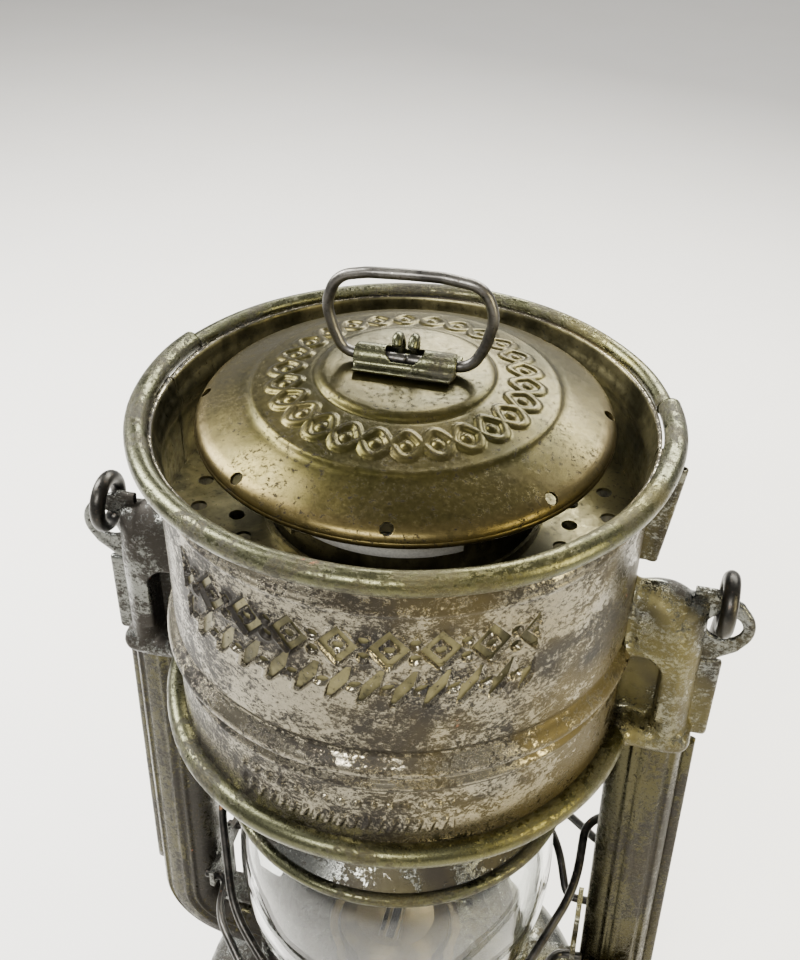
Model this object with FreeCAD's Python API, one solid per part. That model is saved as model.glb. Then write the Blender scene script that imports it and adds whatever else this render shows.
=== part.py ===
import FreeCAD, Part
import math
import os

# Tubular storm lantern, small size: a fuel fount, two side air tubes, a glass globe in a lifting
# cradle with crossed guard wires, and a round wind-proof drum with a vented chimney cap in it.
# Frame: millimetres, +Z up, -Y front, origin at the centre of the base.

V = FreeCAD.Vector
UP = V(0, 0, 1)

SHEET = 0.6                 # tinplate thickness
SIDES = {"left": -1, "right": 1}

# drum
WALL_R = 45.0
RIM_R = 50.0                # outside of the front rim roll
RIM_Z = 220.0
DRUM_TOP = 221.0
DRUM_FLOOR = 154.4
FLANGE_ROLL = 2.4
BEAD_Z = 175.8
NECK_Z = 214.0
FRONT_ROLL = 2.1
REAR_ROLL = 1.6
FRONT_ROLL_ANGLE = 212.0
PAN_OPENING_R = 39.0
BAFFLE_Z = 199.4

# elbows that lead the side tubes into the drum
ELBOW_X = 59.4
ELBOW_TOP = 191.0
ELBOW_FOOT = 151.0
ELBOW_COLLAR = 158.5           # top of the thicker foot
ELBOW_HALF = 6.5
ELBOW_BEND = 12.0
PASSAGE_Z = 177.6
RECESS_TOP = 176.2
RECESS_X = 52.1
STRIP_REACH = 63.6            # outer edge of the elbow's seam strip

# side tubes
TUBE_TOP = (52.4, 154.8)
TUBE_CORNER = (54.3, 57.5)
TUBE_END = (26.0, 50.0)
TUBE_BEND = 12.0
TUBE_HALF_WIDTH = 7.5
SEAM_REACH = 9.8

# chimney, cap and ring
CHIMNEY_R = 25.0
BELL_R = 37.0
BELL_Z = 127.3
CAP_R = 36.8
CAP_RIM_Z = 219.0
CAP_TOP = 229.0
RING_WIRE_R = 1.0
RING_Z = CAP_TOP + 1.35

# bail
PIVOT_X = 62.3
PIVOT_Z = 187.5
EAR_FOOT = 173.0
BAIL_WIRE_R = 1.6
EYE_R = 4.9
BAIL_STRAIGHT = 44.0
BAIL_REST = 27.0            # degrees behind straight down

# globe and cradle
GLASS = 1.8
GLOBE_FOOT = 65.0
PLATE_Z = 63.5
PLATE_R = 34.0
GUARD_R = 44.0
GUARD_WIRE_R = 1.0
WIRE_HOLE_Y = 7.8
WIRE_HOLE_Z = 80.0

# burner and fount
CHAMBER_R = 27.0
CHAMBER_TOP = 63.0
FOUNT_R = 52.0
FOUNT_TOP = 41.0
FOOT_TOP = 4.0
SHAFT_X = 5.2
SHAFT_Z = 49.0
SHAFT_R = 1.2
RUNNING = 0.05              # radial clearance of a shaft in its bearing
FILLER = (-27.2, -27.2)
NECK_R = 8.0
LEVER_PIVOT = (52.0, 71.0)
LEVER_TURN = 45.0


# ---- shape helpers ----

def export(name, *solids):
    shape = solids[0] if len(solids) == 1 else Part.makeCompound(list(solids))
    shape.exportStep("parts/%s.step" % name)
    print(name, "valid" if shape.isValid() else "INVALID", len(shape.Solids), round(shape.Volume, 1))


def clean(shape):
    """The one solid in a boolean result."""
    return shape.Solids[0] if len(shape.Solids) == 1 else shape


def box(x0, x1, y0, y1, z0, z1):
    return Part.makeBox(x1 - x0, y1 - y0, z1 - z0, V(x0, y0, z0))


def cylinder(radius, z0, z1, at=(0, 0)):
    return Part.makeCylinder(radius, z1 - z0, V(at[0], at[1], z0), UP)


def tube(inner, outer, z0, z1, at=(0, 0)):
    return cylinder(outer, z0, z1, at).cut(cylinder(inner, z0 - 1, z1 + 1, at))


def torus(major, minor, z, sweep=360.0, start=0.0):
    ring = Part.makeTorus(major, minor, V(0, 0, z), UP, 0, 360, sweep)
    ring.rotate(V(), UP, start)
    return ring


def turned(outline, sweep=360.0, start=0.0):
    """Solid of revolution about Z from (radius, height) points."""
    points = [V(r, 0, z) for r, z in outline]
    face = Part.Face(Part.makePolygon(points + points[:1]))
    solid = face.revolve(V(), UP, sweep)
    solid.rotate(V(), UP, start)
    return solid


def unit(a, b):
    length = math.hypot(b[0] - a[0], b[1] - a[1])
    return (b[0] - a[0]) / length, (b[1] - a[1]) / length


def parallel(points, distance):
    """Parallel copy of an open outline, on the left of its direction."""
    last = len(points) - 1
    moved = []
    for i, (x, y) in enumerate(points):
        ux, uy = unit(points[max(i - 1, 0)], points[max(i, 1)])
        vx, vy = unit(points[min(i, last - 1)], points[min(i + 1, last)])
        share = distance / (1 + ux * vx + uy * vy)
        moved.append((x - (uy + vy) * share, y + (ux + vx) * share))
    return moved


def sheet(points, thickness=SHEET, sweep=360.0, start=0.0):
    """Turned sheet whose outer face follows the points; the thickness lies on their left."""
    return turned(points + parallel(points, thickness)[::-1], sweep, start)


def plate_xz(points, y0, y1):
    """Flat plate with an outline in the XZ plane, between two Y values."""
    corners = [V(x, y0, z) for x, z in points]
    return Part.Face(Part.makePolygon(corners + corners[:1])).extrude(V(0, y1 - y0, 0))


def bent_path(points, bend):
    """Straight runs joined by tangent arcs."""
    corners = [V(*p) for p in points]
    edges = []
    here = corners[0]
    for before, corner, after in zip(corners, corners[1:], corners[2:]):
        back = (before - corner).normalize()
        ahead = (after - corner).normalize()
        half = back.getAngle(ahead) / 2
        longest = 0.45 * min((before - corner).Length, (after - corner).Length)
        reach = min(bend / math.tan(half), longest)
        inward = (back + ahead).normalize()
        middle = corner + inward * (reach / math.cos(half) - reach * math.tan(half))
        first = corner + back * reach
        last = corner + ahead * reach
        edges.append(Part.LineSegment(here, first).toShape())
        edges.append(Part.Arc(first, middle, last).toShape())
        here = last
    edges.append(Part.LineSegment(here, corners[-1]).toShape())
    return Part.Wire(edges)


def rod(path, radius):
    """Round wire along a path."""
    first = path.OrderedEdges[0]
    start = first.valueAt(first.FirstParameter)
    along = first.tangentAt(first.FirstParameter)
    return path.makePipeShell([Part.Wire(Part.makeCircle(radius, start, along))], True, False)


def mirrored(shape):
    return shape.mirror(V(), V(1, 0, 0))


def hole_ring(count, ring_r, hole_r, z0, z1, first=0.0):
    """Group of pins used to pierce a ring of holes."""
    pins = []
    for i in range(count):
        turn = math.radians(first + i * 360.0 / count)
        pins.append(cylinder(hole_r, z0, z1, (ring_r * math.cos(turn), ring_r * math.sin(turn))))
    return Part.makeCompound(pins)


# ---- side tubes ----

def tube_section(inset):
    """Flattened section with a ridge down the middle of its front and back."""
    quarter = [(TUBE_HALF_WIDTH, 2.0), (5.5, 5.2), (1.2, 5.4), (0.8, 6.3)]
    right = [(u - inset, v) if i == 0 else (u, v - inset) for i, (u, v) in enumerate(quarter)]
    left = [(-u, v) for u, v in right[::-1]]
    upper = right + left
    lower = [(u, -v) for u, v in upper[::-1]]
    corners = [V(TUBE_TOP[0] + u, v, TUBE_TOP[1]) for u, v in upper + lower]
    return Part.makePolygon(corners + corners[:1])


def tube_bar(inset):
    """Filled bar along the tube's bent centre line."""
    points = [(x, 0, z) for x, z in (TUBE_TOP, TUBE_CORNER, TUBE_END)]
    return bent_path(points, TUBE_BEND).makePipeShell([tube_section(inset)], True, False)


def tube_seam():
    """Folded seam along the outer edge of the straight run."""
    slope = (TUBE_CORNER[0] - TUBE_TOP[0]) / (TUBE_TOP[1] - TUBE_CORNER[1])
    outline = []
    top = ELBOW_FOOT - 0.4
    for z, reach in ((top, 7.2), (top, SEAM_REACH), (72.0, SEAM_REACH), (72.0, 7.2)):
        outline.append((TUBE_TOP[0] + slope * (TUBE_TOP[1] - z) + reach, z))
    return plate_xz(outline, -0.5, 0.5)


def side_tubes(outer):
    for name, side in SIDES.items():
        shape = clean(outer.fuse(tube_seam()).cut(tube_bar(SHEET)).cut(cylinder(24.5, 30, 80)))
        export("side_tube_" + name, shape if side > 0 else mirrored(shape))


# ---- drum ----

def elbow_outline(inset, left):
    """Elbow profile with a round outer shoulder, as a face in the XZ plane."""
    x = ELBOW_X - inset
    top = ELBOW_TOP - inset
    bend = ELBOW_BEND - inset
    corner = bend * (1 - math.sqrt(0.5))
    a = V(left, 0, top)
    b = V(x - bend, 0, top)
    c = V(x - corner, 0, top - corner)
    d = V(x, 0, top - bend)
    e = V(x, 0, ELBOW_FOOT)
    f = V(left, 0, ELBOW_FOOT)
    lines = [Part.LineSegment(p, q).toShape() for p, q in ((a, b), (d, e), (e, f), (f, a))]
    lines.insert(1, Part.Arc(b, c, d).toShape())
    return Part.Face(Part.Wire(lines))


def elbow_block():
    """Right-hand elbow, filled, with an arched recess beside the drum on each face."""
    block = elbow_outline(0, 40.0).extrude(V(0, 2 * ELBOW_HALF, 0))
    block.translate(V(0, -ELBOW_HALF, 0))
    collar = box(46, ELBOW_X + 1.6, -7.5, 7.5, ELBOW_FOOT, ELBOW_COLLAR)
    strip = box(ELBOW_X - 1, STRIP_REACH, -0.55, 0.55, ELBOW_FOOT + 1.5, EAR_FOOT)
    radius = (RECESS_X - WALL_R) / 2
    middle = RECESS_TOP - radius
    recess = box(WALL_R, RECESS_X, -10, 10, ELBOW_COLLAR + 1, middle)
    recess = recess.fuse(Part.makeCylinder(radius, 20, V(WALL_R + radius, -10, middle), V(0, 1, 0)))
    web = box(40, 55, -0.7, 0.7, ELBOW_FOOT, RECESS_TOP + 1)
    return block.fuse([collar, strip]).cut(recess.cut(web))


def elbow_passage():
    """Air space in the right-hand elbow."""
    space = elbow_outline(0.8, 40.0).common(box(40, 70, -1, 1, PASSAGE_Z, 200).fuse(
        box(RECESS_X + 0.8, 70, -1, 1, 140, 200)))
    passage = space.extrude(V(0, 11.4, 0))
    passage.translate(V(0, -5.7, 0))
    return passage


def drum_wall():
    return [(WALL_R, DRUM_FLOOR), (WALL_R, BEAD_Z - 3.2), (46.3, BEAD_Z - 1.2), (46.3, BEAD_Z + 1.2),
            (WALL_R, BEAD_Z + 3.2), (WALL_R, 210.5), (WALL_R - 0.7, NECK_Z), (WALL_R, 217.0),
            (WALL_R, DRUM_TOP)]


def elbows(tube_outer, passage):
    inside = turned([(0.0, 140.0), (WALL_R, 140.0)] + drum_wall() + [(0.0, DRUM_TOP)])
    flange = torus(46.5, FLANGE_ROLL, DRUM_FLOOR)
    elbow = clean(elbow_block().cut(inside).cut(flange).cut(tube_outer).cut(passage))
    export("elbow_right", elbow)
    export("elbow_left", mirrored(elbow))


def drum_shells(tube_outer, passage):
    spread = (FRONT_ROLL_ANGLE - 180) / 2
    rolls = {"front": torus(RIM_R - FRONT_ROLL, FRONT_ROLL, RIM_Z, FRONT_ROLL_ANGLE, 180 - spread),
             "rear": torus(47.2, REAR_ROLL, RIM_Z, 360 - FRONT_ROLL_ANGLE, spread)}
    starts = {"front": (180.0, 180.0), "rear": (spread, 360 - FRONT_ROLL_ANGLE)}
    for name, turn in (("front", 180.0), ("rear", 0.0)):
        start, sweep = starts[name]
        lip = turned([(44.4, 220.4), (47.0, 220.4), (47.0, 221.0), (44.4, 221.0)], sweep, start)
        shell = sheet(drum_wall(), SHEET, 180, turn).fuse(torus(46.5, FLANGE_ROLL, DRUM_FLOOR, 180, turn))
        shell = shell.cut(Part.makeCompound([passage, mirrored(passage)]))
        shell = shell.cut(cylinder(WALL_R - SHEET, 150, 160))
        shell = shell.cut(Part.makeCompound([tube_outer, mirrored(tube_outer)]))
        export("drum_%s_shell" % name, clean(shell.fuse([lip, rolls[name]])))


def drum_fittings():
    foot = DRUM_FLOOR - 3.2
    pan = sheet([(PAN_OPENING_R + SHEET, foot), (PAN_OPENING_R + SHEET, foot + 4), (44.4, foot + 4)], -SHEET)
    export("drum_bottom_pan", pan)
    strips = []
    for side in SIDES.values():
        strip = box(44.5, 50.9, -0.9, 0.9, 195.0, 216.4).cut(cylinder(45.02, 190, 220))
        strips.append(strip if side > 0 else mirrored(strip))
    export("drum_seam_strips", *strips)
    ring = tube(26.0, WALL_R - SHEET, BAFFLE_Z, BAFFLE_Z + SHEET)
    ring = ring.fuse(tube(26.0, 26.6, BAFFLE_Z, BAFFLE_Z + 2.6))
    ring = ring.cut(hole_ring(30, 31.5, 1.5, BAFFLE_Z - 1, BAFFLE_Z + 2))
    ring = ring.cut(hole_ring(30, 38.5, 1.5, BAFFLE_Z - 1, BAFFLE_Z + 2, 6.0))
    export("air_baffle_ring", clean(ring))
    outline = [(55.0, 190.4), (60.0, 190.8), (64.2, 189.8), (67.2, 187.6), (68.5, 184.6),
               (68.3, 181.0), (66.2, 176.8), (62.0, EAR_FOOT), (55.0, EAR_FOOT)]
    ear = plate_xz(outline, -0.8, 0.8)
    ear = ear.cut(Part.makeCylinder(3.1, 4, V(PIVOT_X, -2, 182.1), V(0, 1, 0)))
    elbow = elbow_outline(0, 40.0).extrude(V(0, 2, 0))
    elbow.translate(V(0, -1, 0))
    ear = clean(ear.cut(elbow))
    export("bail_ear_right", ear)
    export("bail_ear_left", mirrored(ear))


def bail():
    """Carrying bail, hung from its pivots behind the lantern."""
    arch = BAIL_STRAIGHT + PIVOT_X
    path = Part.Wire([
        Part.LineSegment(V(-PIVOT_X, 0, -EYE_R), V(-PIVOT_X, 0, -BAIL_STRAIGHT)).toShape(),
        Part.Arc(V(-PIVOT_X, 0, -BAIL_STRAIGHT), V(0, 0, -arch), V(PIVOT_X, 0, -BAIL_STRAIGHT)).toShape(),
        Part.LineSegment(V(PIVOT_X, 0, -BAIL_STRAIGHT), V(PIVOT_X, 0, -EYE_R)).toShape()])
    eyes = [Part.makeTorus(EYE_R, BAIL_WIRE_R, V(x, 0, 0), V(1, 0, 0)) for x in (-PIVOT_X, PIVOT_X)]
    shape = clean(rod(path, BAIL_WIRE_R).fuse(eyes))
    shape.rotate(V(), V(1, 0, 0), BAIL_REST)
    shape.translate(V(0, 0, PIVOT_Z))
    export("bail", shape)


# ---- chimney, cap and lifting ring ----

def cap_outline():
    return [(CAP_R + 0.4, CAP_RIM_Z - 0.6), (CAP_R + 0.2, CAP_RIM_Z + 0.6), (33.3, 222.6),
            (28.2, 224.7), (27.3, 225.6), (16.4, 227.9), (15.4, CAP_TOP), (0.0, CAP_TOP)]


def chimney():
    bell = sheet([(BELL_R, BELL_Z), (28.0, 133.0), (CHIMNEY_R, 150.0), (CHIMNEY_R, 163.0)], -SHEET)
    bell = bell.fuse([torus(BELL_R, 1.4, BELL_Z), tube(22.5, 29.2, 132.0, 132.6),
                      tube(CHIMNEY_R, 30.5, 150.0, 150.8)])
    export("chimney_bell", clean(bell))
    cap = sheet(cap_outline())
    cap = cap.fuse(torus(CAP_R, 1.0, CAP_RIM_Z))
    cap = cap.cut(hole_ring(8, CAP_R - 1.4, 1.2, 210, 230, -81.0))
    export("chimney_cap", clean(cap))
    under_cap = parallel(cap_outline(), SHEET)
    above = turned(under_cap + [(0.0, 240.0), (45.0, 240.0), (45.0, CAP_RIM_Z - 0.6)])
    straps = []
    rivets = []
    for i in range(4):
        turn = 45.0 + 90 * i
        strap = tube(CHIMNEY_R, CHIMNEY_R + 0.7, 204.0, 230.0).common(box(20, 30, -3.5, 3.5, 200, 235))
        strap = strap.cut(above)
        rivet = Part.makeCylinder(1.1, 3.4, V(23.4, 0, 207.5), V(1, 0, 0))
        strap = strap.cut(rivet)
        for shape, group in ((clean(strap), straps), (rivet, rivets)):
            shape.rotate(V(), UP, turn)
            group.append(shape)
    export("cap_straps", *straps)
    export("cap_rivets", *rivets)
    pipe = tube(CHIMNEY_R - SHEET, CHIMNEY_R, 150.0, 211.0).cut(Part.makeCompound(rivets))
    export("chimney_tube", clean(pipe))
    coil = Part.makeHelix(7.4, BAFFLE_Z - 150.8 - 1.9, 28.2)
    circle = Part.Wire(Part.makeCircle(0.8, V(28.2, 0, 0), V(0, 1, 0)))
    spring = Part.Wire(coil.Edges).makePipeShell([circle], True, True)
    spring.translate(V(0, 0, 150.8 + 0.95))
    export("chimney_spring", spring)


def cap_clip():
    """Saddle that holds the ring's straight run, with an oval hole and two curled tabs."""
    axis = V(1, 0, 0)
    start = V(-9.0, 0, RING_Z)
    saddle = Part.makeCylinder(2.0, 18, start, axis).fuse(box(-9.0, 9.0, -5, 5, CAP_TOP, CAP_TOP + 0.8))
    saddle = saddle.cut(Part.makeCylinder(1.25, 21, start - axis, axis))
    saddle = saddle.cut(box(-12, 12, -1.25, 1.25, CAP_TOP - 2, RING_Z))
    saddle = saddle.cut(box(-12, 12, -9, 9, 220, CAP_TOP))
    window = box(-3.2, 3.2, -1.6, 1.6, RING_Z, RING_Z + 4)
    export("ring_clip", clean(saddle.cut(window)))
    tabs = [Part.makeCylinder(0.9, 4.0, V(x - 2, 3.6, CAP_TOP + 1.7), axis) for x in (-6.2, 6.2)]
    export("clip_tabs", *tabs)


def cap_ring():
    """Lifting ring, wider at the top, with its ends butted inside the clip."""
    points = [(0.4, 0, 0), (12.4, 0, 0), (15.4, 0, 9.6), (14.2, 0, 16.2), (0, 0, 16.6),
              (-13.4, 0, 15.2), (-14.8, 0, 8.6), (-12.4, 0, 0), (-0.4, 0, 0)]
    path = bent_path([(x, y, z + RING_Z) for x, y, z in points], 5.0)
    export("cap_ring", rod(path, RING_WIRE_R))


# ---- globe and cradle ----

def globe():
    outline = [(30.5, GLOBE_FOOT), (31.0, 70.0), (34.6, 80.0), (37.0, 95.0), (36.4, 110.0),
               (31.5, 120.5), (25.6, 126.5), (24.5, 131.4)]
    curves = []
    for side in (outline, parallel(outline, GLASS)):
        curve = Part.BSplineCurve()
        curve.interpolate([V(r, 0, z) for r, z in side])
        curves.append(curve)
    ends = [Part.LineSegment(curves[0].StartPoint, curves[1].StartPoint),
            Part.LineSegment(curves[0].EndPoint, curves[1].EndPoint)]
    edges = [c.toShape() for c in curves + ends]
    face = Part.Face(Part.Wire(Part.__sortEdges__(edges)))
    export("globe", clean(face.revolve(V(), UP, 360)))


def cradle():
    plate = sheet([(17.2, PLATE_Z), (PLATE_R, PLATE_Z), (PLATE_R, PLATE_Z + 4.0)], 0.8)
    for radius in (20.5, 24.5):
        plate = plate.cut(hole_ring(24, radius, 1.0, PLATE_Z - 1, PLATE_Z + 2, 7.5 * (radius > 22)))
    export("globe_plate", clean(plate))
    arm = parallel([(33.0, 64.7), (45.4, 64.7), (45.4, 84.0)], 1.2)
    outline = [(33.0, 64.7), (45.4, 64.7), (45.4, 84.0)] + arm[::-1]
    strap = plate_xz(outline, -4.0, 4.0).fuse(box(44.2, 45.4, -9.5, 9.5, 77.5, 82.5))
    strap = strap.cut(cylinder(PLATE_R, 60, 70))
    web = box(44.2, 45.4, -8.9, -3.0, 66.6, 82.5).fuse(box(37.4, 45.4, -8.9, -7.9, 66.6, 71.4))
    pad = box(37.4, 39.6, -10.9, -7.9, 68.0, 69.4)
    brackets = {"left": strap, "right": strap.fuse([web, pad])}
    for name, shape in brackets.items():
        for y in (-WIRE_HOLE_Y, WIRE_HOLE_Y):
            shape = shape.cut(Part.makeCylinder(GUARD_WIRE_R, 6, V(42.0, y, WIRE_HOLE_Z), V(1, 0, 0)))
        shape = clean(shape)
        export("cradle_bracket_" + name, shape if name == "right" else mirrored(shape))


def guard_wire(side, back, start_z, radius):
    """One wire from behind a side tube, down round the globe, to the bracket on the other side."""
    points = [(-53.0 * side, 7.7, start_z), (-47.0 * side, 7.7, start_z)]
    if back < 0:
        points.append((-43.2 * side, 4.4, start_z - 1.0))
    for i in range(6):
        turn = math.radians(12 + 28 * i) if back < 0 else math.radians(24 + 26 * i)
        height = max(start_z - 6.0 - 11.0 * i, 84.0 if back < 0 else 88.0)
        points.append((-side * radius * math.cos(turn), back * radius * math.sin(turn), height))
    points.append((41.4 * side, WIRE_HOLE_Y * back, WIRE_HOLE_Z))
    points.append((46.6 * side, WIRE_HOLE_Y * back, WIRE_HOLE_Z))
    return rod(bent_path(points, 30.0), GUARD_WIRE_R)


def guard_wires():
    for name, back, start_z in (("front", -1, 113.0), ("rear", 1, 103.0)):
        wires = [guard_wire(side, back, start_z, GUARD_R + step) for side, step in ((1, -2.6), (-1, 0.0))]
        export("guard_wires_" + name, *wires)


def lift_lever():
    x, z = LEVER_PIVOT
    front = V(0, -1, 0)
    pin = Part.makeCylinder(1.5, 5.4, V(x, -6.3, z), front)
    pin = pin.fuse(Part.makeCylinder(2.4, 0.8, V(x, -11.2, z), front))
    export("lever_pin", pin)
    bracket = box(x - 5, x + 6, -7.5, -6.3, z - 5, z + 5).cut(pin)
    export("lever_bracket", bracket)
    arm = plate_xz([(-14.0, -1.4), (-4.0, -3.0), (3.0, -3.4), (13.0, -2.4), (15.6, 0.6),
                    (13.4, 2.6), (3.0, 3.4), (-4.0, 3.0), (-14.0, 1.4)], -10.9, -9.2)
    arm = arm.fuse(Part.makeCylinder(3.0, 1.3, V(0, -7.9, 0), front))
    arm = arm.cut(Part.makeCylinder(1.5 + RUNNING, 20, V(0, 0, 0), front))
    arm.rotate(V(), V(0, 1, 0), -LEVER_TURN / 2)
    arm.translate(V(x, 0, z))
    export("lift_lever", clean(arm))


# ---- burner ----

def burner(tubes_outer):
    chamber = tube(CHAMBER_R - SHEET, CHAMBER_R, FOUNT_TOP, CHAMBER_TOP)
    chamber = chamber.fuse([tube(11.0, CHAMBER_R, FOUNT_TOP, FOUNT_TOP + SHEET),
                            tube(17.5, CHAMBER_R, CHAMBER_TOP - SHEET, CHAMBER_TOP)])
    bush_hole = Part.makeCylinder(2.6, 6, V(SHAFT_X, -24, SHAFT_Z), V(0, -1, 0))
    export("burner_chamber", clean(chamber.cut(tubes_outer).cut(bush_hole)))
    bush = Part.makeCylinder(2.6, 3.6, V(SHAFT_X, -24.8, SHAFT_Z), V(0, -1, 0))
    bush = bush.cut(Part.makeCylinder(SHAFT_R + RUNNING, 9, V(SHAFT_X, -22, SHAFT_Z), V(0, -1, 0)))
    export("shaft_bushing", bush)

    collar = tube(8.6, 11.0, 35.0, 44.0).fuse(cylinder(9.0, 43.0, 44.0))
    collar = collar.fuse(box(3.0, 8.0, 5.6, 6.8, 43.5, 51.5))
    collar = collar.cut(box(-1.9, 1.9, -7.3, 7.3, 30, 60))
    shaft_hole = Part.makeCylinder(SHAFT_R + RUNNING, 4, V(SHAFT_X, 4, SHAFT_Z), V(0, 1, 0))
    export("burner_collar", clean(collar.cut(shaft_hole)))

    wick_tube = box(-1.9, 1.9, -7.3, 7.3, 30, 66).cut(box(-1.1, 1.1, -6.5, 6.5, 29, 67))
    for y in (-3.0, 3.0):
        wick_tube = wick_tube.cut(box(0.5, 3, y - 1.0, y + 1.0, SHAFT_Z - 4.6, SHAFT_Z + 4.6))
    export("wick_tube", clean(wick_tube))
    export("wick", box(-0.9, 0.9, -6.0, 6.0, 8.0, 66.5))

    cone = sheet([(17.5, CHAMBER_TOP), (15.0, CHAMBER_TOP), (14.2, 65.6), (10.0, 68.4), (4.0, 69.2),
                  (0.0, 69.2)])
    export("burner_cone", clean(cone.cut(box(-2.5, 2.5, -7.5, 7.5, 60, 75))))


def wick_wheel():
    front = V(0, -1, 0)
    export("wick_shaft", Part.makeCylinder(SHAFT_R, 52.0, V(SHAFT_X, 8.0, SHAFT_Z), front))
    spurs = []
    for y in (-3.0, 3.0):
        spur = Part.makeCylinder(2.9, 1.2, V(0, y + 0.6, 0), front)
        for i in range(10):
            tooth = box(2.4, 4.0, y - 0.6, y + 0.6, -0.5, 0.5)
            tooth.rotate(V(), V(0, 1, 0), 36.0 * i)
            spur = spur.fuse(tooth)
        spur = spur.cut(Part.makeCylinder(SHAFT_R, 20, V(0, 10, 0), front))
        spur.translate(V(SHAFT_X, 0, SHAFT_Z))
        spurs.append(clean(spur))
    export("wick_spurs", *spurs)
    knob = Part.makeCylinder(8.0, 2.6, V(SHAFT_X, -44.0, SHAFT_Z), front)
    grooves = []
    for i in range(28):
        turn = math.radians(i * 360 / 28)
        centre = V(SHAFT_X + 8.2 * math.cos(turn), -43.0, SHAFT_Z + 8.2 * math.sin(turn))
        grooves.append(Part.makeCylinder(0.55, 5, centre, front))
    export("wick_knob", clean(knob.cut(Part.makeCompound(grooves))))


# ---- fount ----

def fount():
    shell = sheet([(51.6, FOOT_TOP), (FOUNT_R, 8.0), (FOUNT_R, 30.0), (50.6, 34.6), (46.0, 37.4),
                   (28.0, FOUNT_TOP), (11.0, FOUNT_TOP)], 0.8)
    shell = shell.cut(cylinder(NECK_R, 30, 60, FILLER))
    export("fount_top_shell", clean(shell))
    export("fount_bottom", cylinder(50.5, 2.8, 3.5))
    export("fount_foot_seam", turned([(50.5, 0.0), (52.4, 0.0), (53.2, 0.9), (53.2, 3.1), (52.4, FOOT_TOP),
                                      (50.5, FOOT_TOP)]))
    export("filler_neck", tube(NECK_R - 0.8, NECK_R, 36.0, 47.6, FILLER))
    export("filler_gasket", tube(4.0, NECK_R, 47.7, 48.7, FILLER))
    cap = cylinder(9.5, 42.6, 50.4, FILLER).cut(cylinder(NECK_R + 0.3, 40, 48.9, FILLER))
    grooves = hole_ring(24, 9.8, 0.6, 40, 52)
    grooves.translate(V(FILLER[0], FILLER[1], 0))
    export("filler_cap", clean(cap.cut(grooves)))


def main():
    os.makedirs("parts", exist_ok=True)
    tube_outer = tube_bar(0)
    side_tubes(tube_outer)
    passage = elbow_passage()
    elbows(tube_outer, passage)
    drum_shells(tube_outer, passage)
    drum_fittings()
    bail()
    chimney()
    cap_clip()
    cap_ring()
    globe()
    cradle()
    guard_wires()
    lift_lever()
    burner(Part.makeCompound([tube_outer, mirrored(tube_outer)]))
    wick_wheel()
    fount()


main()
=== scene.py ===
import math
import bpy
import numpy as np
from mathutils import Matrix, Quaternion, Vector


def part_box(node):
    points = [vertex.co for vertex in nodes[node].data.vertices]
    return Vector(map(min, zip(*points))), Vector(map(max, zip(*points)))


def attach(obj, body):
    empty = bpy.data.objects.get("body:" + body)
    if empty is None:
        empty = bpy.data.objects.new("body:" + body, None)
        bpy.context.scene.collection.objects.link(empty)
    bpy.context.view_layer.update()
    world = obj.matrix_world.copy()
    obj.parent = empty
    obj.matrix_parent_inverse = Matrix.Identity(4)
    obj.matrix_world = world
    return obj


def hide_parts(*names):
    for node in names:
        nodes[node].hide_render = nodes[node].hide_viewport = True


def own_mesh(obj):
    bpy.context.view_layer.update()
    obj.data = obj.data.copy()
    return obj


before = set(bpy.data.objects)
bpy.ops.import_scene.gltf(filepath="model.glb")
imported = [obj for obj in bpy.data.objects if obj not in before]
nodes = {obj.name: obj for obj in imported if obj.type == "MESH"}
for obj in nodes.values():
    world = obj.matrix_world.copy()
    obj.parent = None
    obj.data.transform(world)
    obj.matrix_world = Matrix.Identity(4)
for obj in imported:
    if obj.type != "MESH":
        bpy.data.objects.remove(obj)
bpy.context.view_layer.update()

MM = 0.001


def mm_box(node):
    """A CAD node's low and high corners, in millimetres."""
    low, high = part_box(node)
    return low / MM, high / MM


drum_low, drum_high = mm_box("drum_front_shell")
cap_high = mm_box("chimney_cap")[1]
ring_low = mm_box("cap_ring")[0]

SHEET = 0.6                        # thickness that sheets are drawn with
RIM_R = -drum_low.y                # outside of the front rim roll
RIM_Z = drum_high.z - 2.1          # centre height of the rim roll
WALL_R = RIM_R - 5.0
FLANGE_Z = 154.4                   # centre height of the roll round the drum's foot
BEAD_Z = RIM_Z - 44.2
NECK_Z = RIM_Z - 6.0
FRONT_HALF_SWEEP = 106.0           # the front roll reaches this far round, each way from the front
LOZENGE_Z, LEAF_Z, STUD_Z, BAR_Z = 203.2, 195.0, 166.0, 161.0                # rows of ornament on the drum
LOZENGE_PITCH, LEAF_PITCH, STUD_PITCH, BAR_PITCH = 8.4, 5.5, 2.9, 2.3
SMALL_ROW_REACH = 20.5             # half length of the stud and bar rows
RECESS_X, RECESS_TOP, RECESS_HALF, RECESS_FOOT = 48.5, 172.2, 4.0, 158.2     # recess in an elbow's face
EYE_Z = 182.1                      # hole in the bail's ear
CAP_TOP = cap_high.z
CAP_R = cap_high.x
GUILLOCHE_R, GUILLOCHE_WAVES, GUILLOCHE_SWING = 21.4, 13, 2.7                # twin waves round the cap
VENTS = 8
PIVOT_X = 62.3                     # where the bail's eyes turn
PIVOT_Z = 187.5
BAIL_REST = math.radians(27.0)
FAR = 9.0                          # distance given to a part of a field that is left out


# ---- meshes ----

def new_mesh(name, points, faces):
    """Smooth-shaded mesh object from points in millimetres."""
    mesh = bpy.data.meshes.new(name)
    mesh.from_pydata((np.asarray(points, float) * MM).tolist(), [], faces)
    mesh.validate()
    mesh.polygons.foreach_set("use_smooth", [True] * len(mesh.polygons))
    made = bpy.data.objects.new(name, mesh)
    bpy.context.scene.collection.objects.link(made)
    return made


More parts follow.
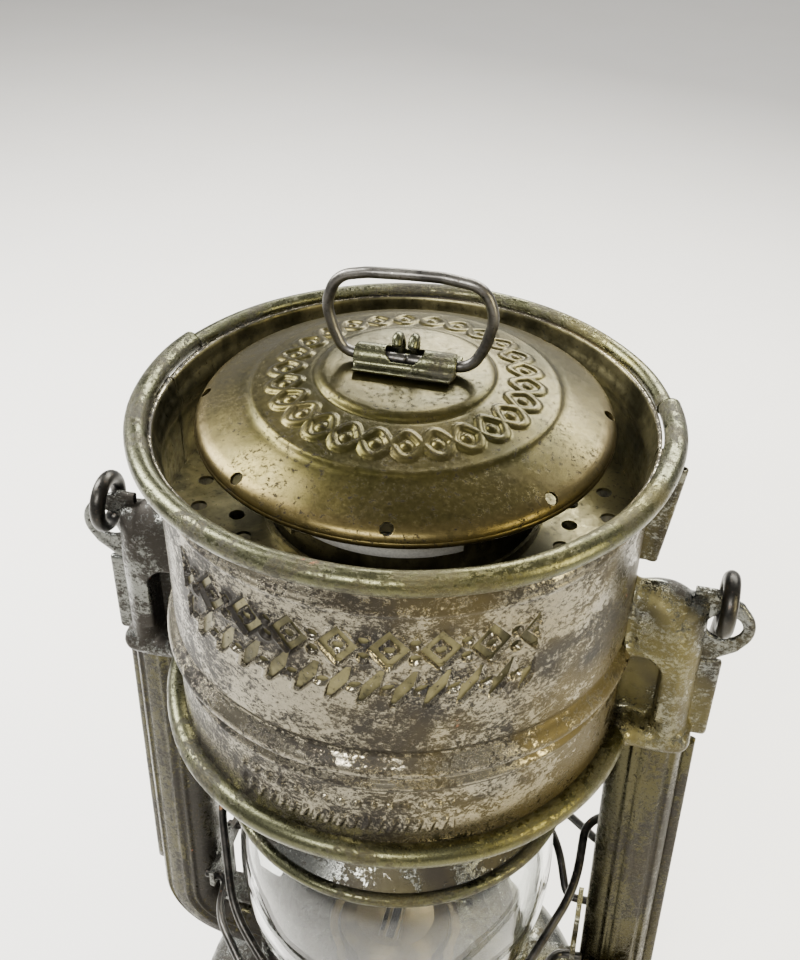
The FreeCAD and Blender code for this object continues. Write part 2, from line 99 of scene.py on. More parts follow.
def grid_faces(rows, columns, wrap_rows, wrap_columns):
    """Quads of a grid of points, joined end to end in the directions that wrap."""
    r = np.arange(rows if wrap_rows else rows - 1)
    c = np.arange(columns if wrap_columns else columns - 1)
    a, b = np.meshgrid(r, c, indexing="ij")
    next_a, next_b = (a + 1) % rows, (b + 1) % columns
    row, next_row = a * columns, next_a * columns
    return np.stack([row + b, row + next_b, next_row + next_b, next_row + b], -1).reshape(-1, 4).tolist()


def lathe(name, outline, start=0.0, sweep=360.0, steps=256, relief=None):
    """Turns a closed outline of (radius, height); an open sweep gets flat end faces."""
    outline = np.asarray(outline, float)
    whole = sweep >= 359.9
    count = steps if whole else steps + 1
    turn = np.radians(start + sweep * np.arange(count) / steps)
    angle, radius = np.meshgrid(turn, outline[:, 0], indexing="ij")
    height = np.broadcast_to(outline[:, 1], radius.shape)
    if relief is not None:
        radius, height = relief(angle, radius, height)
    points = np.stack([radius * np.cos(angle), radius * np.sin(angle), height], -1).reshape(-1, 3)
    n = len(outline)
    faces = [f[::-1] for f in grid_faces(count, n, whole, True)]
    if not whole:
        faces.append(list(range(n))[::-1])
        faces.append([(count - 1) * n + i for i in range(n)])
    return new_mesh(name, points, faces)


def arc(x, z, radius, first, last, count):
    """Points along an arc, from first to last degrees."""
    turn = np.radians(np.linspace(first, last, count))
    return [(x + radius * math.cos(t), z + radius * math.sin(t)) for t in turn]


def eased(points, passes=2):
    """Corner cutting, which rounds an open outline's corners."""
    p = np.asarray(points, float)
    for _ in range(passes):
        before, after = p[:-1], p[1:]
        cut = np.stack([0.75 * before + 0.25 * after, 0.25 * before + 0.75 * after], 1)
        p = np.concatenate([p[:1], cut.reshape(-1, p.shape[1]), p[-1:]])
    return p


def spread(points, step):
    """Points at even spacing along an open outline."""
    p = np.asarray(points, float)
    along = np.concatenate([[0], np.cumsum(np.linalg.norm(np.diff(p, axis=0), axis=1))])
    at = np.linspace(0, along[-1], max(2, int(along[-1] / step) + 1))
    return np.stack([np.interp(at, along, p[:, i]) for i in range(p.shape[1])], 1)


def offset(points, distance):
    """Parallel copy of an outline, on the left of its direction."""
    p = np.asarray(points, float)
    way = np.gradient(p, axis=0)
    way /= np.linalg.norm(way, axis=1, keepdims=True)
    return p + distance * np.stack([-way[:, 1], way[:, 0]], 1)


def sheet_outline(points, thickness=SHEET, step=0.8, passes=2):
    """Closed outline of a turned sheet, with its thickness on the left of the given line."""
    line = spread(eased(points, passes), step)
    return np.concatenate([line, offset(line, thickness)[::-1]])


def sweep_mesh(name, section, path, frames):
    """Moves a closed section (u, v) along a path; frames gives each point's u and v directions."""
    section = np.asarray(section, float)
    rows = []
    for point, (u_way, v_way) in zip(path, frames):
        rows.append(point + section[:, :1] * u_way + section[:, 1:] * v_way)
    n = len(section)
    faces = grid_faces(len(path), n, False, True)
    faces.append(list(range(n))[::-1])
    faces.append([(len(path) - 1) * n + i for i in range(n)])
    return new_mesh(name, np.concatenate(rows), faces)


def wire(name, path, radius, sides=20):
    """Round wire along a dense 3-D path, with rounded ends."""
    path = np.asarray(path, float)
    way = np.gradient(path, axis=0)
    way /= np.linalg.norm(way, axis=1, keepdims=True)
    side = np.cross(way[0], [0.3, 0.5, 0.81])
    frames = []
    for t in way:
        side = side - t * np.dot(side, t)
        side = side / np.linalg.norm(side)
        frames.append((side.copy(), np.cross(t, side)))
    turn = np.linspace(0, 2 * np.pi, sides, endpoint=False)
    circle = np.stack([np.cos(turn), np.sin(turn)], 1)
    rings, centres, used = [], [], []
    cap_steps = (0.25, 0.7, 0.95)
    for share in cap_steps:
        centres.append(path[0] - way[0] * radius * math.sqrt(1 - share ** 2) * 0.6)
        rings.append(share)
        used.append(frames[0])
    for point, f in zip(path, frames):
        centres.append(point)
        rings.append(1.0)
        used.append(f)
    for share in cap_steps[::-1]:
        centres.append(path[-1] + way[-1] * radius * math.sqrt(1 - share ** 2) * 0.6)
        rings.append(share)
        used.append(frames[-1])
    rows = []
    for centre, share, (u, v) in zip(centres, rings, used):
        rows.append(centre + radius * share * (circle[:, :1] * u + circle[:, 1:] * v))
    faces = grid_faces(len(rows), sides, False, True)
    faces.append(list(range(sides))[::-1])
    faces.append([(len(rows) - 1) * sides + i for i in range(sides)])
    return new_mesh(name, np.concatenate(rows), faces)


def rounded_line(points, bend, step=0.6):
    """Straight runs joined by round bends, as a dense path."""
    p = [np.asarray(q, float) for q in points]
    dense = [p[0]]
    for before, corner, after in zip(p, p[1:], p[2:]):
        back, ahead = before - corner, after - corner
        shortest = min(np.linalg.norm(back), np.linalg.norm(ahead))
        back, ahead = back / np.linalg.norm(back), ahead / np.linalg.norm(ahead)
        half = math.acos(np.clip(np.dot(back, ahead), -1, 1)) / 2
        reach = min(bend / math.tan(half), 0.48 * shortest)
        radius = reach * math.tan(half)
        inward = (back + ahead) / np.linalg.norm(back + ahead)
        centre = corner + inward * radius / math.sin(half)
        a, b = corner + back * reach - centre, corner + ahead * reach - centre
        turn = math.pi - 2 * half
        for k in np.linspace(0, 1, max(4, int(turn * radius / step) + 2)):
            dense.append(centre + (a * math.sin((1 - k) * turn) + b * math.sin(k * turn)) / math.sin(turn))
    dense.append(p[-1])
    return spread(dense, step)


def surface_net(name, field, low, high, step):
    """Closed surface where the field (distance in millimetres, negative inside) crosses zero."""
    axes = [np.arange(a, b + step, step) for a, b in zip(low, high)]
    grid = np.meshgrid(*axes, indexing="ij")
    value = field(*grid)
    inside = value < 0
    total = np.zeros(tuple(n - 1 for n in value.shape) + (3,))
    hits = np.zeros(tuple(n - 1 for n in value.shape))
    corners = [np.array(c) for c in np.ndindex(2, 2, 2)]
    size = np.array(hits.shape)

    def block(corner):
        return tuple(slice(c, c + s) for c, s in zip(corner, size))

    for axis in range(3):
        for c in corners:
            if c[axis]:
                continue
            d = c.copy()
            d[axis] = 1
            first, last = value[block(c)], value[block(d)]
            crossing = (first < 0) != (last < 0)
            share = np.where(crossing, first / np.where(crossing, first - last, 1), 0)
            for k in range(3):
                total[..., k] += np.where(crossing, share if k == axis else c[k], 0)
            hits += crossing
    live = hits > 0
    index = -np.ones(hits.shape, int)
    index[live] = np.arange(live.sum())
    cell = np.argwhere(live)
    points = np.array(low) + step * (cell + total[live] / hits[live][:, None])
    faces = []
    for axis in range(3):
        b, c = (axis + 1) % 3, (axis + 2) % 3
        start = [slice(None)] * 3
        start[axis] = slice(0, -1)
        end = [slice(None)] * 3
        end[axis] = slice(1, None)
        change = inside[tuple(start)] != inside[tuple(end)]
        at = np.argwhere(change)
        at = at[(at[:, b] > 0) & (at[:, c] > 0) & (at[:, b] < size[b]) & (at[:, c] < size[c])]
        ring = []
        for db, dc in ((-1, -1), (0, -1), (0, 0), (-1, 0)):
            q = at.copy()
            q[:, b] += db
            q[:, c] += dc
            ring.append(index[q[:, 0], q[:, 1], q[:, 2]])
        quad = np.stack(ring, 1)
        flip = ~inside[at[:, 0], at[:, 1], at[:, 2]]
        quad[flip] = quad[flip][:, ::-1]
        faces += quad.tolist()
    return new_mesh(name, points, faces)


def polish(piece, passes=3, factor=0.5):
    """Evens out a surface net's small steps."""
    smooth = piece.modifiers.new("even", "SMOOTH")
    smooth.factor = factor
    smooth.iterations = passes
    bpy.context.view_layer.update()
    mesh = bpy.data.meshes.new_from_object(piece.evaluated_get(bpy.context.evaluated_depsgraph_get()))
    piece.modifiers.clear()
    piece.data = mesh
    return piece


def mirror_x(piece, name):
    """A mirrored copy of a piece."""
    points = np.zeros(len(piece.data.vertices) * 3)
    piece.data.vertices.foreach_get("co", points)
    points = points.reshape(-1, 3) * [-1, 1, 1] / MM
    faces = [list(p.vertices)[::-1] for p in piece.data.polygons]
    return new_mesh(name, points, faces)


def place(piece, body, paint, slot, *replaced):
    """Gives a piece its finish, its body, and the CAD nodes it stands for; the slot argument is not used."""
    piece.data.materials.clear()
    piece.data.materials.append(paint)
    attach(piece, body)
    if replaced:
        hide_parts(*replaced)
    return piece


# ---- distance fields ----

def rounded_box2(a, b, centre, half, radius):
    """Distance to a flat box with rounded corners."""
    qa = np.abs(a - centre[0]) - half[0] + radius
    qb = np.abs(b - centre[1]) - half[1] + radius
    return rounded_corner(qa, qb, radius)


def rounded_corner(qa, qb, radius):
    """Joins two edge distances in a corner of this radius."""
    return np.hypot(np.maximum(qa, 0), np.maximum(qb, 0)) + np.minimum(np.maximum(qa, qb), 0) - radius


def slab(flat, depth, half, radius):
    """A flat shape's distance, given thickness with rounded edges."""
    return rounded_corner(flat + radius, np.abs(depth) - half + radius, radius)


def facet_slab(flat, depth, half, chamfer, soften):
    """A flat shape given thickness, with flat chamfers along its edges."""
    side = np.abs(depth) - half
    slope = (flat + side + chamfer) * math.sqrt(0.5)
    return keep_both(keep_both(flat, side, soften), slope, soften)


def keep_both(a, b, width):
    """Intersection with a rounded edge."""
    return -melt(-a, -b, width)


def melt(a, b, width):
    """Union with a filleted corner."""
    h = np.clip(0.5 + 0.5 * (b - a) / width, 0, 1)
    return b * (1 - h) + a * h - width * h * (1 - h)


def polygon_distance(a, b, corners):
    """Signed distance to a closed polygon, negative inside."""
    best = np.full(a.shape, 1e9)
    inside = np.zeros(a.shape, bool)
    for (x0, y0), (x1, y1) in zip(corners, corners[1:] + corners[:1]):
        dx, dy = x1 - x0, y1 - y0
        k = np.clip(((a - x0) * dx + (b - y0) * dy) / (dx * dx + dy * dy), 0, 1)
        best = np.minimum(best, np.hypot(a - x0 - k * dx, b - y0 - k * dy))
        rise = dy if abs(dy) > 1e-9 else 1e-9
        crosses = ((y0 > b) != (y1 > b)) & (a < x0 + (b - y0) * dx / rise)
        inside ^= crosses
    return np.where(inside, -best, best)


# ---- materials ----

class Graph:
    """Short names for shader nodes of one material."""

    def __init__(self, name):
        self.paint = bpy.data.materials.new(name)
        self.paint.use_nodes = True
        self.tree = self.paint.node_tree
        self.shader = self.tree.nodes["Principled BSDF"]
        self.place = self.add("ShaderNodeTexCoord").outputs["Object"]

    def add(self, kind, inputs=(), **settings):
        node = self.tree.nodes.new(kind)
        for key, value in settings.items():
            setattr(node, key, value)
        for key, value in dict(inputs).items():
            if isinstance(value, bpy.types.NodeSocket):
                self.tree.links.new(value, node.inputs[key])
            else:
                node.inputs[key].default_value = value
        return node

    def noise(self, size, detail=4.0, rough=0.6, stretch=(1, 1, 1), warp=0.0, where=None):
        """Noise whose features are about size millimetres."""
        spot = self.add("ShaderNodeMapping", {"Vector": where or self.place, "Scale": stretch})
        inputs = {"Vector": spot.outputs[0], "Scale": 1 / (size * MM), "Detail": detail, "Roughness": rough,
                  "Distortion": warp}
        return self.add("ShaderNodeTexNoise", inputs).outputs["Fac"]

    def step(self, value, low, high, first=0.0, last=1.0):
        """Smooth step from first to last as value goes from low to high."""
        inputs = {"Value": value, "From Min": low, "From Max": high, "To Min": first, "To Max": last}
        return self.add("ShaderNodeMapRange", inputs, interpolation_type="SMOOTHSTEP").outputs["Result"]

    def math(self, operation, a, b):
        """One arithmetic node."""
        return self.add("ShaderNodeMath", {0: a, 1: b}, operation=operation).outputs[0]

    def blend(self, share, a, b):
        """Colour a where share is 0 and colour b where it is 1."""
        node = self.add("ShaderNodeMix", {0: share}, data_type="RGBA")
        for key, value in ((6, a), (7, b)):
            if isinstance(value, bpy.types.NodeSocket):
                self.tree.links.new(value, node.inputs[key])
            else:
                node.inputs[key].default_value = (*value, 1.0)
        return node.outputs[2]

    def bump(self, height, strength, distance, under=None):
        """Normal bent by a height; distance in millimetres."""
        inputs = {"Height": height, "Strength": strength, "Distance": distance * MM}
        if under is not None:
            inputs["Normal"] = under
        return self.add("ShaderNodeBump", inputs).outputs["Normal"]

    def angle(self):
        """Turn about the lantern's axis, distance from it, and the three coordinates."""
        parts = self.add("ShaderNodeSeparateXYZ", {0: self.place})
        turn = self.math("ARCTAN2", parts.outputs[1], parts.outputs[0])
        x2 = self.math("MULTIPLY", parts.outputs[0], parts.outputs[0])
        y2 = self.math("MULTIPLY", parts.outputs[1], parts.outputs[1])
        reach = self.math("SQRT", self.math("ADD", x2, y2), 0.0)
        return turn, reach, parts.outputs

    def finish(self, **sockets):
        """Sets the shader's inputs and returns the material."""
        for key, value in sockets.items():
            socket = self.shader.inputs[key.replace("_", " ")]
            if isinstance(value, bpy.types.NodeSocket):
                self.tree.links.new(value, socket)
            else:
                socket.default_value = value
        return self.paint


def tinplate(name, light, dark, cover=0.5, shine=0.26, painted_sheen=0.0, streak=0.0, upright=1.0,
             metallic=1.0):
    """Aged tinplate: fine dark pitting that gathers in places, smooth tarnish, rust specks, bright wear, and
    a painted warm highlight in clouds on the right side (x > 0).
    """
    g = Graph(name)
    broad = g.noise(19, 4, 0.6, (1, 1, upright), 0.5)
    patch = g.noise(4.6, 6, 0.72, (1, 1, 1.2 * upright), 0.5)
    grain = g.noise(0.95, 8, 0.85, (1, 1, 1.35))
    grit = g.noise(0.5, 4, 0.7)
    amount = g.math("ADD", g.math("MULTIPLY", broad, 0.55), g.math("MULTIPLY", patch, 0.45))
    level = g.math("ADD", g.math("MULTIPLY", grain, 0.72), g.math("MULTIPLY", amount, 0.75))
    low = 0.835 - 0.17 * cover
    flecks = g.step(level, low, low + 0.032)
    tarnish = g.step(amount, 0.49, 0.60)
    base = g.blend(g.step(grit, 0.3, 0.7), light, tuple(0.78 * c for c in light))
    brown = tuple(0.32 * a + 0.30 * b + c for a, b, c in zip(light, dark, (0.02, 0.008, 0.006)))
    base = g.blend(g.math("MULTIPLY", tarnish, 0.65), base, brown)
    base = g.blend(g.math("MULTIPLY", flecks, 0.95), base, dark)
    pits = g.step(g.noise(0.8, 3, 0.5), 0.70, 0.74)
    base = g.blend(pits, base, (0.022, 0.018, 0.014))
    rust = g.math("MULTIPLY", g.step(g.noise(9, 5, 0.7), 0.70, 0.745), g.step(grain, 0.45, 0.55))
    base = g.blend(g.math("MULTIPLY", rust, 0.8), base, (0.46, 0.17, 0.085))
    # painted highlight: a warm gold tint in clouds, only on the right side (x > 0), stands in for the warm
    # lamp's reflection
    if painted_sheen:
        parts = g.angle()[2]
        painted_sheen_cloud = g.step(g.noise(30, 3, 0.55, warp=0.8), 0.40, 0.62, 0.0, painted_sheen)
        side = g.step(parts[0], -0.02, 0.045)
        painted_sheen_colour = tuple(k * c for k, c in zip((1.25, 1.02, 0.28), light))
        base = g.blend(g.math("MULTIPLY", painted_sheen_cloud, side), base, painted_sheen_colour)
    rough = g.step(grit, 0.3, 0.7, shine - 0.06, shine + 0.06)
    rough = g.math("ADD", rough, g.math("MULTIPLY", flecks, 0.26))
    rough = g.math("ADD", rough, g.math("MULTIPLY", tarnish, 0.06))
    height = g.math("ADD", g.math("MULTIPLY", flecks, -0.9), g.math("MULTIPLY", grit, 0.5))
    normal = g.bump(height, 0.45, 0.14)
    if streak:
        turn, reach, parts = g.angle()
        spot = g.add("ShaderNodeCombineXYZ", {0: g.math("MULTIPLY", turn, 0.012), 1: reach, 2: parts[2]})
        lines = g.noise(0.3, 3, 0.7, where=spot.outputs[0])
        base = g.blend(g.step(lines, 0.4, 0.7, 0.0, streak), base, tuple(1.35 * c for c in light))
        normal = g.bump(lines, 0.2, 0.05, normal)
    normal = g.bump(g.noise(13, 2, 0.5), 0.4, 0.9, normal)
    metal = g.math("SUBTRACT", metallic, g.math("MULTIPLY", flecks, 0.3 * metallic))
    return g.finish(Base_Color=base, Metallic=metal, Roughness=rough, Normal=normal)


def cap_finish():
    """Heat-tinted sheet: olive with rosy grey clouds, black specks gathered towards the front."""
    g = Graph("cap_sheet")
    clouds = g.noise(20, 4, 0.6, warp=1.0)
    patches = g.noise(8, 5, 0.65, warp=0.5)
    fine = g.noise(0.9, 7, 0.78)
    base = g.blend(g.step(clouds, 0.40, 0.62), (0.032, 0.028, 0.007), (0.054, 0.045, 0.013))
    base = g.blend(g.step(patches, 0.48, 0.70, 0.0, 0.50), base, (0.062, 0.051, 0.023))
    reach, parts = g.angle()[1:]
    shoulder = g.step(reach, 0.0275, 0.0335)
    base = g.blend(g.math("MULTIPLY", shoulder, 0.30), base, (0.078, 0.061, 0.022))
    edge = g.step(reach, 0.0345, 0.0365)
    base = g.blend(g.math("MULTIPLY", edge, 0.50), base, (0.096, 0.071, 0.027))
    front = g.step(parts[1], 0.010, -0.022)
    group = g.step(g.noise(5, 4, 0.6), 0.43, 0.53)
    speck = g.step(fine, 0.555, 0.585)
    specks = g.math("MULTIPLY", speck, g.math("MULTIPLY", group, g.step(front, 0.0, 1.0, 0.35, 1.0)))
    base = g.blend(g.math("MULTIPLY", specks, 0.9), base, (0.010, 0.008, 0.006))
    mottled = g.step(g.noise(1.6, 6, 0.75), 0.5, 0.66, 0.0, 0.45)
    base = g.blend(mottled, base, (0.019, 0.016, 0.005))
    rough = g.step(fine, 0.3, 0.7, 0.27, 0.40)
    rough = g.math("ADD", rough, g.math("MULTIPLY", specks, 0.25))
    normal = g.bump(g.math("SUBTRACT", g.math("MULTIPLY", fine, 0.6), specks), 0.2, 0.1)
    normal = g.bump(g.noise(11, 2, 0.5), 0.35, 0.8, normal)
    return g.finish(Base_Color=base, Metallic=0.95, Roughness=rough, Normal=normal)


def wire_finish(name, gain):
    """Dark drawn wire with rust freckles."""
    g = Graph(name)
    broad = g.noise(7, 4, 0.6)
    fine = g.noise(0.7, 5, 0.7)
    dark = tuple(gain * c for c in (0.055, 0.052, 0.047))
    light = tuple(gain * c for c in (0.150, 0.142, 0.126))
    base = g.blend(g.step(broad, 0.35, 0.65), dark, light)
    base = g.blend(g.step(fine, 0.58, 0.66, 0.0, 0.8), base, (0.06, 0.045, 0.035))
    base = g.blend(g.math("MULTIPLY", g.step(g.noise(5, 4), 0.66, 0.72), 0.6), base, (0.30, 0.16, 0.08))
    rough = g.step(fine, 0.3, 0.7, 0.26, 0.46)
    return g.finish(Base_Color=base, Metallic=0.95, Roughness=rough, Normal=g.bump(fine, 0.3, 0.08))


def inside_finish(name, dark, light):
    """Olive, smoky inside of the drum and chimney."""
    g = Graph(name)
    broad = g.noise(14, 5, 0.62, (1, 1, 0.6), 0.5)
    fine = g.noise(1.3, 6, 0.74)
    base = g.blend(g.step(broad, 0.38, 0.62), dark, light)
    base = g.blend(g.step(fine, 0.57, 0.64, 0.0, 0.75), base, (0.02, 0.018, 0.012))
    rough = g.step(fine, 0.3, 0.7, 0.26, 0.5)
    normal = g.bump(g.noise(12, 2, 0.5), 0.35, 0.8, g.bump(fine, 0.2, 0.1))
    return g.finish(Base_Color=base, Metallic=0.9, Roughness=rough, Normal=normal)


def glass_finish():
    """Clear glass, lightly smeared and rippled."""
    g = Graph("globe_glass")
    smear = g.noise(9, 4, 0.6, (1, 1, 0.35), 0.6)
    fine = g.noise(1.5, 4, 0.6)
    rough = g.step(g.math("MULTIPLY", smear, fine), 0.24, 0.42, 0.0, 0.10)
    ripple = g.noise(16, 2, 0.4, (1, 1, 0.3))
    g.shader.inputs["Transmission Weight"].default_value = 1.0
    g.shader.inputs["IOR"].default_value = 1.47
    g.shader.inputs["Base Color"].default_value = (0.91, 0.93, 0.915, 1)
    return g.finish(Roughness=rough, Normal=g.bump(ripple, 0.18, 0.6))


def brass_finish():
    """Dull brass, darkened by smoke."""
    g = Graph("dull_brass")
    broad = g.noise(5, 5, 0.65)
    fine = g.noise(0.8, 5, 0.7)
    base = g.blend(g.step(broad, 0.35, 0.7), (0.105, 0.080, 0.042), (0.060, 0.048, 0.030))
    base = g.blend(g.step(fine, 0.6, 0.68, 0.0, 0.8), base, (0.06, 0.05, 0.03))
    rough = g.step(fine, 0.3, 0.7, 0.3, 0.5)
    return g.finish(Base_Color=base, Metallic=0.95, Roughness=rough, Normal=g.bump(fine, 0.2, 0.08))


def cotton_finish():
    """Woven cotton, burnt at its top end."""
    g = Graph("wick_cotton")
    wave = {"Vector": g.place, "Scale": 520.0, "Distortion": 1.2, "Detail": 2.0}
    weave = g.add("ShaderNodeTexWave", wave, bands_direction="Z").outputs["Fac"]
    fine = g.noise(0.5, 5, 0.7)
    parts = g.angle()[2]
    burnt = g.step(parts[2], 0.0635, 0.0662)
    base = g.blend(weave, (0.50, 0.44, 0.32), (0.74, 0.67, 0.52))
    base = g.blend(g.math("MULTIPLY", fine, 0.4), base, (0.35, 0.28, 0.18))
    base = g.blend(burnt, base, (0.02, 0.018, 0.016))
    return g.finish(Base_Color=base, Roughness=0.9, Normal=g.bump(weave, 0.5, 0.2))


def seal_finish():
    """Pressed cork."""
    g = Graph("seal_ring")
    fine = g.noise(0.9, 5, 0.7)
    base = g.blend(fine, (0.20, 0.12, 0.07), (0.42, 0.28, 0.17))
    return g.finish(Base_Color=base, Roughness=0.85, Normal=g.bump(fine, 0.4, 0.2))


def floor_finish():
    """Plain pale floor."""
    g = Graph("pale_floor")
    soft = g.noise(60, 3, 0.5)
    base = g.blend(g.step(soft, 0.3, 0.7, 0.0, 0.25), (0.80, 0.785, 0.755), (0.75, 0.73, 0.69))
    return g.finish(Base_Color=base, Roughness=0.8)


# The sixth value of tinplate, rolled_edge, side_sheet and tube_sheet sets the strength of the painted warm
# highlight on the right side.
tin = tinplate("tinplate", (0.205, 0.186, 0.138), (0.008, 0.0065, 0.005), 0.66, 0.22, 0.22)
roll_tin = tinplate("rolled_edge", (0.081, 0.082, 0.047), (0.022, 0.020, 0.014), 0.46, 0.30, 0.5, 0.3)
plain_tin = tinplate("side_sheet", (0.130, 0.133, 0.122), (0.016, 0.013, 0.009), 0.72, 0.24, 0.45)
tube_tin = tinplate("tube_sheet", (0.047, 0.043, 0.022), (0.016, 0.014, 0.011), 0.66, 0.24, 0.2, upright=0.3)
# painted reflection: the pale, half-metallic colour of the band at the chimney tube's top stands in for
# light reflected under the cap
painted_reflection_tin = tinplate("bright_band", (0.80, 0.78, 0.71), (0.45, 0.43, 0.37), 0.1, 0.40, metallic=0.45)
inner_wall = inside_finish("inner_wall", (0.030, 0.027, 0.012), (0.14, 0.124, 0.060))
inner = inside_finish("inner_sheet", (0.030, 0.026, 0.013), (0.11, 0.095, 0.045))
cap_sheet = cap_finish()
steel = wire_finish("steel_wire", 0.9)
# painted shade: bail_wire is a darker copy of the steel wire finish, so the bail and guard wires look shaded
painted_shade_steel = wire_finish("bail_wire", 0.25)
glass = glass_finish()
brass = brass_finish()


# ---- drum ----

def bump_line(value, centre, half):
    """Round bump of height 1 about a line."""
    k = np.clip(1 - ((value - centre) / half) ** 2, 0, None)
    return k ** 1.5


def stroke(distance, half=0.55, soft=0.42):
    """A pressed line: sunk along its middle and raised at its edges."""
    sunk = np.clip((half + soft - distance) / soft, 0, 1)
    sunk = sunk * sunk * (3 - 2 * sunk)
    edge = np.exp(-((distance - half - 0.5) / 0.33) ** 2)
    return -0.55 * sunk + 0.20 * edge


def repeat(value, pitch):
    """Distance from the nearest multiple of pitch, with its sign."""
    return value - pitch * np.round(value / pitch)


def lozenge(a, b, half_a, half_b):
    """Distance to a lozenge's outline."""
    across = np.abs(np.abs(a) / half_a + np.abs(b) / half_b - 1)
    return across * half_a * half_b / math.hypot(half_a, half_b)


def drum_ornament(along, z):
    """Pressed rows on the drum's front: lozenges and dots, leaning leaves and seeds, studs, bars."""
    depth = np.zeros(z.shape)

    def sunk_row(middle, half_height, reach, distance):
        inside = (np.abs(z - middle) < half_height) & (np.abs(along) < reach)
        return np.where(inside, 1.35 * stroke(distance), 0)

    def raised_row(height, distance):
        return height * np.clip((0.4 - distance) / 0.5, 0, 1) * (np.abs(along) < SMALL_ROW_REACH)

    up = z - LOZENGE_Z
    across = repeat(along, LOZENGE_PITCH)
    lozenges = np.minimum(lozenge(across, up, 2.7, 3.1), np.hypot(across, up) - 0.3)
    dots = np.hypot(repeat(along + LOZENGE_PITCH / 2, LOZENGE_PITCH), np.abs(up) - 1.6) - 0.25
    depth += sunk_row(LOZENGE_Z, 4.4, 34.0, np.minimum(lozenges, dots))
    up = z - LEAF_Z
    leaning = along - 0.5 * up
    leaves = np.maximum(lozenge(repeat(leaning, LEAF_PITCH), up, 0.8, 2.9), 0)
    seeds = np.maximum(np.hypot(repeat(leaning + LEAF_PITCH / 2, LEAF_PITCH), up) - 0.35, 0)
    depth += sunk_row(LEAF_Z, 4.0, 33.5, np.minimum(leaves, seeds))
    depth += raised_row(0.70, np.hypot(repeat(along, STUD_PITCH), z - STUD_Z) - 0.75)
    up = z - BAR_Z
    bars = np.hypot(repeat(along - 0.3 * up, BAR_PITCH), np.maximum(np.abs(up) - 1.0, 0)) - 0.45
    return depth + raised_row(0.65, bars)


def wall_outline(top_out):
    """Line up the drum wall's outside and down its inside, and how many of its points are outside."""
    z = np.concatenate([np.arange(FLANGE_Z + 1.2, 158, 0.5), np.arange(158, 171, 0.28),
                        np.arange(171, 187, 0.4), np.arange(187, 209, 0.28), np.arange(209, RIM_Z, 0.3)])
    r = np.full(z.shape, WALL_R)
    ridges = ((1.75, BEAD_Z, 2.4), (-0.65, BEAD_Z + 3.2, 1.3), (-0.60, BEAD_Z - 3.1, 1.2),
              (0.40, BEAD_Z - 5.0, 0.9), (-0.75, NECK_Z + 0.6, 2.5), (0.28, NECK_Z - 3.0, 0.8))
    for height, middle, half in ridges:
        r += height * bump_line(z, middle, half)
    flare = np.clip((z - (RIM_Z - 3.4)) / 3.4, 0, 1)
    r += top_out * flare ** 2
    low = np.clip((FLANGE_Z + 4.0 - z) / 3.0, 0, 1)
    r += 0.5 * low ** 2
    outer = np.stack([r, z], 1)
    inner_side = (outer[::2] - [SHEET, 0])[::-1]
    return np.concatenate([outer, inner_side]), len(outer)


def uneven(angle, height):
    """Slight unevenness of a thin sheet."""
    return 0.10 * np.sin(3 * angle + 0.04 * height) + 0.06 * np.sin(7 * angle - 0.11 * height)


def lumpy(angle, radius, height):
    """Relief of a hand-closed roll."""
    radius = radius + 0.09 * np.sin(5 * angle) + 0.05 * np.sin(13 * angle + 1)
    return radius, height + 0.08 * np.sin(4 * angle + 2)


def paint_inside(piece, total, outer_count):
    """Gives the faces on the wall's inner side the smoky finish."""
    piece.data.materials.append(inner_wall)
    for face in piece.data.polygons:
        if len(face.vertices) == 4 and all(v % total >= outer_count for v in face.vertices):
            face.material_index = 1


def drum():
    """Wall halves with their ornament and beads, rim and flange rolls, and the floor pan."""
    outline, outer_count = wall_outline(0.9)

    def pressed(angle, radius, height):
        along = (angle - math.radians(270)) * WALL_R
        depth = drum_ornament(along[:, :outer_count], height[:, :outer_count])
        radius = radius.copy()
        radius[:, :outer_count] += depth
        return radius + uneven(angle, height), height

    def worn(angle, radius, height):
        return radius + uneven(angle, height), height

    front = lathe("drum_wall_front", outline, 180, 180, 620, pressed)
    place(front, "frame", tin, "tinplate", "drum_front_shell")
    rear = lathe("drum_wall_rear", wall_outline(0.6)[0], 0, 180, 240, worn)
    place(rear, "frame", tin, "tinplate", "drum_rear_shell")
    for piece in (front, rear):
        paint_inside(piece, len(outline), outer_count)
    front_part = 2 * FRONT_HALF_SWEEP
    rear_part = 360 - front_part
    rolls = (("rim_roll_front", (47.9, RIM_Z, 2.08, 0, 352, 30), 270 - FRONT_HALF_SWEEP, front_part, 420),
             ("rim_roll_rear", (47.15, RIM_Z - 0.1, 1.6, 0, 352, 26), FRONT_HALF_SWEEP - 90, rear_part, 300),
             ("drum_flange_roll", (46.5, FLANGE_Z, 2.35, 0, 352, 30), 0, 360, 480))
    for name, round_section, start, sweep, steps in rolls:
        roll = lathe(name, arc(*round_section), start, sweep, steps, lumpy)
        place(roll, "frame", roll_tin, "tinplate")
    skirt = [(46.0, FLANGE_Z - 1.4), (43.4, FLANGE_Z - 0.6), (40.4, FLANGE_Z - 1.6), (39.6, FLANGE_Z - 3.2)]
    pan = lathe("drum_floor_pan", sheet_outline(skirt, 0.6, 0.5), 0, 360, 300)
    place(pan, "frame", plain_tin, "tinplate", "drum_bottom_pan")


# ---- elbows, ears and tubes ----

def elbow_profile(x, z):
    """Side view of an elbow before its recess: a round shoulder, and a leg down to the tube."""
    shoulder = rounded_box2(x, z, (41.0, 179.5), (18.4, 11.5), 11.0)
    leg = rounded_box2(x, z, (55.6, 170.0), (3.8, 18.0), 1.6)
    bridge = rounded_box2(x, z, (48.0, 176.9), (10.0, 2.0), 1.5)
    return np.minimum(np.where(z > 168, shoulder, FAR), melt(leg, bridge, 2.0))


